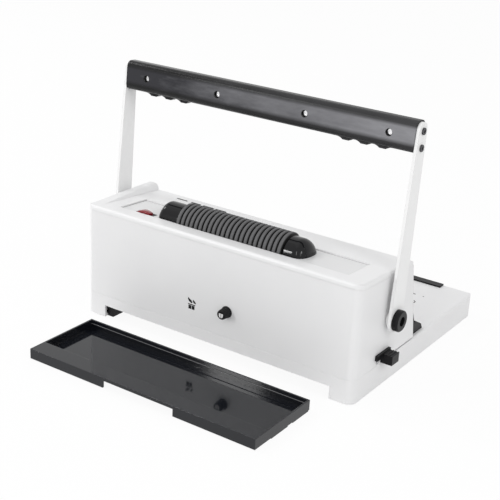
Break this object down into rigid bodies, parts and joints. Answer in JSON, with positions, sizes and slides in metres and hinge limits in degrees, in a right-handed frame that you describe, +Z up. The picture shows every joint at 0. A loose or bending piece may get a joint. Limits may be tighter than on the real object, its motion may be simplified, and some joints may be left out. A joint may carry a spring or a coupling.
{
  "type": "coil binding machine",
  "caption": "Desk punch for coil binding with a long two-armed pull handle, a ribbed powered roller on top, a paper table in front and a pull-out chip tray behind.",
  "frame": {"origin": "on the table, centred under the machine with its chip tray pulled out", "axes": "+X along the roller towards its drive end, +Y from the paper table to the back, +Z up"},
  "size_m": [0.401, 0.4342, 0.2952],
  "materials": {
    "body": "satin moulding",
    "cover": "satin moulding",
    "arm": "satin paint",
    "black_satin": "fine grain",
    "black_gloss": "polished",
    "tray": "polished moulding",
    "grip": "satin",
    "rings": "matt",
    "foot": "matt",
    "red": "polished",
    "steel": "ground",
    "bright": "polished",
    "blackened": "blackened",
    "aluminium": "mill",
    "bronze": "sintered",
    "board": "lacquered",
    "belt": "matt"
  },
  "bodies": {
    "machine": {"base_shell": "body", "bottom_plate": "blackened", "rubber_feet": "foot", "tray_guides": "black_satin", "housing": "body", "top_cover": "cover", "side_frames": "blackened", "frame_screws": "steel", "die_plate": "steel", "pin_guide": "steel", "guide_posts": "bright", "return_springs": "bright", "shaft_bushes": "bronze", "equipment_shelf": "steel", "motor": "steel", "motor_bracket": "steel", "drive_belt": "belt", "roller_cover_left": "black_gloss", "roller_cover_right": "black_gloss", "roller_bushes": "bronze", "switch_body": "black_gloss", "speed_control": "black_satin", "control_board": "board", "power_inlet": "black_satin", "gauge_screw": "steel", "scale_strip": "black_satin"},
    "handle": {"pivot_shaft": "steel", "press_cams": "steel", "handle_arm_left": "arm", "handle_arm_right": "arm", "pivot_caps": "black_satin", "grip_core": "aluminium", "grip_rear_half": "grip", "grip_front_half": "grip", "grip_screws": "steel", "arm_screws": "blackened"},
    "punch": {"punch_beam": "blackened", "punch_pins": "bright"},
    "roller": {"roller_sleeve": "rings", "roller_core": "aluminium", "roller_pulley": "aluminium"},
    "motor_rotor": {"motor_pulley": "aluminium"},
    "switch_button": {"switch_rocker": "red"},
    "speed_dial": {"speed_spindle": "steel", "speed_knob": "black_satin"},
    "depth_gauge": {"depth_knob": "black_satin", "stop_bar": "steel"},
    "side_guide": {"edge_guide": "black_satin"},
    "tray": {"chip_tray": "tray"}
  },
  "joints": [
    {"name": "handle_swing", "type": "hinge", "parent": "machine", "child": "handle", "pos_m": [0, 0.0136, 0.0792], "axis": [1, 0, 0], "range_deg": [0, 72], "stiffness_Nm_per_rad": 3, "springref_deg": -8.59},
    {"name": "punch_stroke", "type": "slide", "parent": "machine", "child": "punch", "axis": [0, 0, 1], "range_m": [-0.012, 0], "deforming": ["return_springs"]},
    {"name": "roller_spin", "type": "hinge", "parent": "machine", "child": "roller", "pos_m": [-0.00125, 0.0399, 0.132], "axis": [1, 0, 0], "continuous": true},
    {"name": "motor_spin", "type": "hinge", "parent": "machine", "child": "motor_rotor", "pos_m": [0.085, 0.0499, 0.088], "axis": [1, 0, 0], "continuous": true},
    {"name": "power_rocker", "type": "hinge", "parent": "machine", "child": "switch_button", "pos_m": [0.1165, 0.05787, 0.13377], "axis": [0, 0.9982, 0.0608], "range_deg": [0, 12]},
    {"name": "speed_turn", "type": "hinge", "parent": "machine", "child": "speed_dial", "pos_m": [-0.021, 0.0829, 0.061], "axis": [0, 1, 0], "range_deg": [-150, 150]},
    {"name": "depth_slide", "type": "slide", "parent": "machine", "child": "depth_gauge", "axis": [0, 1, 0], "range_m": [-0.0015, 0.0015]},
    {"name": "edge_slide", "type": "slide", "parent": "machine", "child": "side_guide", "axis": [1, 0, 0], "range_m": [0, 0.012]},
    {"name": "tray_slide", "type": "slide", "parent": "machine", "child": "tray", "axis": [0, -1, 0], "range_m": [0, 0.1342]}
  ],
  "couplings": [
    {"joint": "punch_stroke", "follows": "handle_swing", "m_per_rad": -0.0095493},
    {"joint": "motor_spin", "follows": "roller_spin", "ratio": 1.5714}
  ]
}
